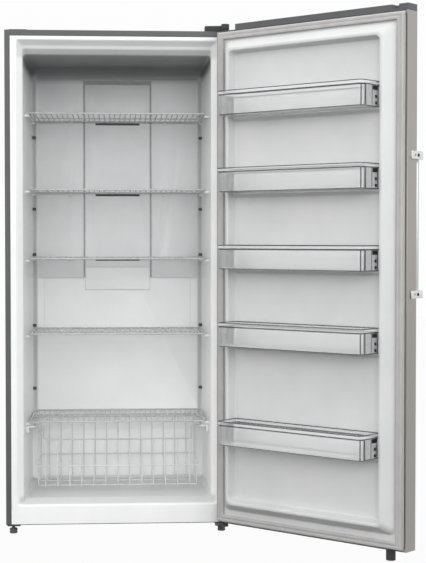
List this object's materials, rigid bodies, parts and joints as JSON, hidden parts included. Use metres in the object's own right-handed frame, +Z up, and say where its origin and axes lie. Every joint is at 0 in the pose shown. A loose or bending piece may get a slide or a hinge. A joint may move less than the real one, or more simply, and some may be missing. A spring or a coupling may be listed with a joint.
{
  "type": "upright freezer",
  "caption": "Tall upright household freezer with a hinged insulated door, pull-out wire shelves, a wire basket and lift-out door bins.",
  "frame": {"origin": "centre of the sole of the front left levelling foot, on the floor", "axes": "+Z up, +Y from the open front towards the back of the cabinet, +X to the right seen from the front"},
  "size_m": [1.4525, 1.3051, 1.8993],
  "materials": {
    "graphite_paint": "satin",
    "zinc_steel": "satin",
    "black_enamel": "gloss",
    "white_liner": "gloss",
    "foam": "matte",
    "white_wire": "gloss",
    "aluminium": "satin",
    "black_plastic": "matte",
    "copper": "satin",
    "black_rubber": "matte",
    "stainless": "satin",
    "satin_metal": "satin",
    "gasket": "matte",
    "bush_plastic": "satin",
    "clear_plastic": "gloss"
  },
  "bodies": {
    "cabinet": {"outer_wrapper": "graphite_paint", "back_panel": "zinc_steel", "base_pan": "black_enamel", "compartment_panel": "zinc_steel", "machine_cover": "zinc_steel", "inner_liner": "white_liner", "cabinet_foam": "foam", "duct_cover": "white_liner", "evaporator_coil": "aluminium", "evaporator_fan_motor": "black_plastic", "condenser_coil": "black_enamel", "condenser_fan_motor": "black_plastic", "compressor": "black_enamel", "discharge_tube": "copper", "drain_pan": "black_plastic", "compressor_grommet_1": "black_rubber", "compressor_grommet_2": "black_rubber", "compressor_grommet_3": "black_rubber", "compressor_grommet_4": "black_rubber", "basket_rail_left": "white_liner", "basket_rail_right": "white_liner", "rear_roller_bracket_left": "zinc_steel", "rear_roller_bracket_right": "zinc_steel", "foot_plate_left": "black_enamel", "lower_hinge_bracket": "black_enamel", "upper_hinge_bracket": "zinc_steel", "upper_hinge_cover": "black_plastic", "spare_hinge_cover": "graphite_paint"},
    "door": {"door_skin": "stainless", "door_top_cap": "black_plastic", "door_bottom_cap": "black_plastic", "door_liner": "white_liner", "door_foam": "foam", "door_gasket": "gasket", "door_bush_upper": "bush_plastic", "door_bush_lower": "bush_plastic", "door_foot": "black_plastic", "handle_bracket_upper": "satin_metal", "handle_bracket_lower": "satin_metal", "handle_bar": "satin_metal"},
    "shelf_1": {"shelf_1": "white_wire"},
    "shelf_2": {"shelf_2": "white_wire"},
    "shelf_3": {"shelf_3": "white_wire"},
    "shelf_4": {"shelf_4": "white_wire"},
    "shelf_5": {"shelf_5": "white_wire"},
    "basket": {"basket": "white_wire"},
    "door_bin_1": {"door_bin_1": "clear_plastic"},
    "door_bin_2": {"door_bin_2": "clear_plastic"},
    "door_bin_3": {"door_bin_3": "clear_plastic"},
    "door_bin_4": {"door_bin_4": "clear_plastic"},
    "door_bin_5": {"door_bin_5": "clear_plastic"},
    "front_foot_left": {"front_foot_left": "black_plastic"},
    "front_foot_right": {"front_foot_right": "black_plastic"},
    "rear_roller_left": {"rear_roller_left": "black_plastic"},
    "rear_roller_right": {"rear_roller_right": "black_plastic"},
    "evaporator_fan_blade": {"evaporator_fan_blade": "black_plastic"},
    "condenser_fan_blade": {"condenser_fan_blade": "black_plastic"}
  },
  "joints": [
    {"name": "door_hinge", "type": "hinge", "parent": "cabinet", "child": "door", "pos_m": [0.792, -0.0783, 0.06], "axis": [0, 0, 1], "range_deg": [-136, 9]},
    {"name": "shelf_1_slide", "type": "slide", "parent": "cabinet", "child": "shelf_1", "axis": [0, -1, 0], "range_m": [0, 0.4]},
    {"name": "shelf_2_slide", "type": "slide", "parent": "cabinet", "child": "shelf_2", "axis": [0, -1, 0], "range_m": [0, 0.4]},
    {"name": "shelf_3_slide", "type": "slide", "parent": "cabinet", "child": "shelf_3", "axis": [0, -1, 0], "range_m": [0, 0.4]},
    {"name": "shelf_4_slide", "type": "slide", "parent": "cabinet", "child": "shelf_4", "axis": [0, -1, 0], "range_m": [0, 0.4]},
    {"name": "shelf_5_slide", "type": "slide", "parent": "cabinet", "child": "shelf_5", "axis": [0, -1, 0], "range_m": [0, 0.4]},
    {"name": "basket_slide", "type": "slide", "parent": "cabinet", "child": "basket", "axis": [0, -1, 0], "range_m": [0, 0.33]},
    {"name": "bin_1_lift", "type": "slide", "parent": "door", "child": "door_bin_1", "axis": [0, 0, 1], "range_m": [0, 0.05]},
    {"name": "bin_2_lift", "type": "slide", "parent": "door", "child": "door_bin_2", "axis": [0, 0, 1], "range_m": [0, 0.05]},
    {"name": "bin_3_lift", "type": "slide", "parent": "door", "child": "door_bin_3", "axis": [0, 0, 1], "range_m": [0, 0.05]},
    {"name": "bin_4_lift", "type": "slide", "parent": "door", "child": "door_bin_4", "axis": [0, 0, 1], "range_m": [0, 0.05]},
    {"name": "bin_5_lift", "type": "slide", "parent": "door", "child": "door_bin_5", "axis": [0, 0, 1], "range_m": [0, 0.05]},
    {"name": "front_foot_left_turn", "type": "hinge", "parent": "cabinet", "child": "front_foot_left", "pos_m": [0, 0, 0.01], "axis": [0, 0, 1], "continuous": true},
    {"name": "front_foot_right_turn", "type": "hinge", "parent": "cabinet", "child": "front_foot_right", "pos_m": [0.783, 0, 0.01], "axis": [0, 0, 1], "continuous": true},
    {"name": "rear_roller_left_spin", "type": "hinge", "parent": "cabinet", "child": "rear_roller_left", "pos_m": [0.0315, 0.575, 0.014], "axis": [1, 0, 0], "continuous": true},
    {"name": "rear_roller_right_spin", "type": "hinge", "parent": "cabinet", "child": "rear_roller_right", "pos_m": [0.7515, 0.575, 0.014], "axis": [1, 0, 0], "continuous": true},
    {"name": "evaporator_fan_spin", "type": "hinge", "parent": "cabinet", "child": "evaporator_fan_blade", "pos_m": [0.3915, 0.5217, 1.28134], "axis": [0, 1, 0], "continuous": true},
    {"name": "condenser_fan_spin", "type": "hinge", "parent": "cabinet", "child": "condenser_fan_blade", "pos_m": [0.3105, 0.556, 0.1187], "axis": [1, 0, 0], "continuous": true}
  ]
}
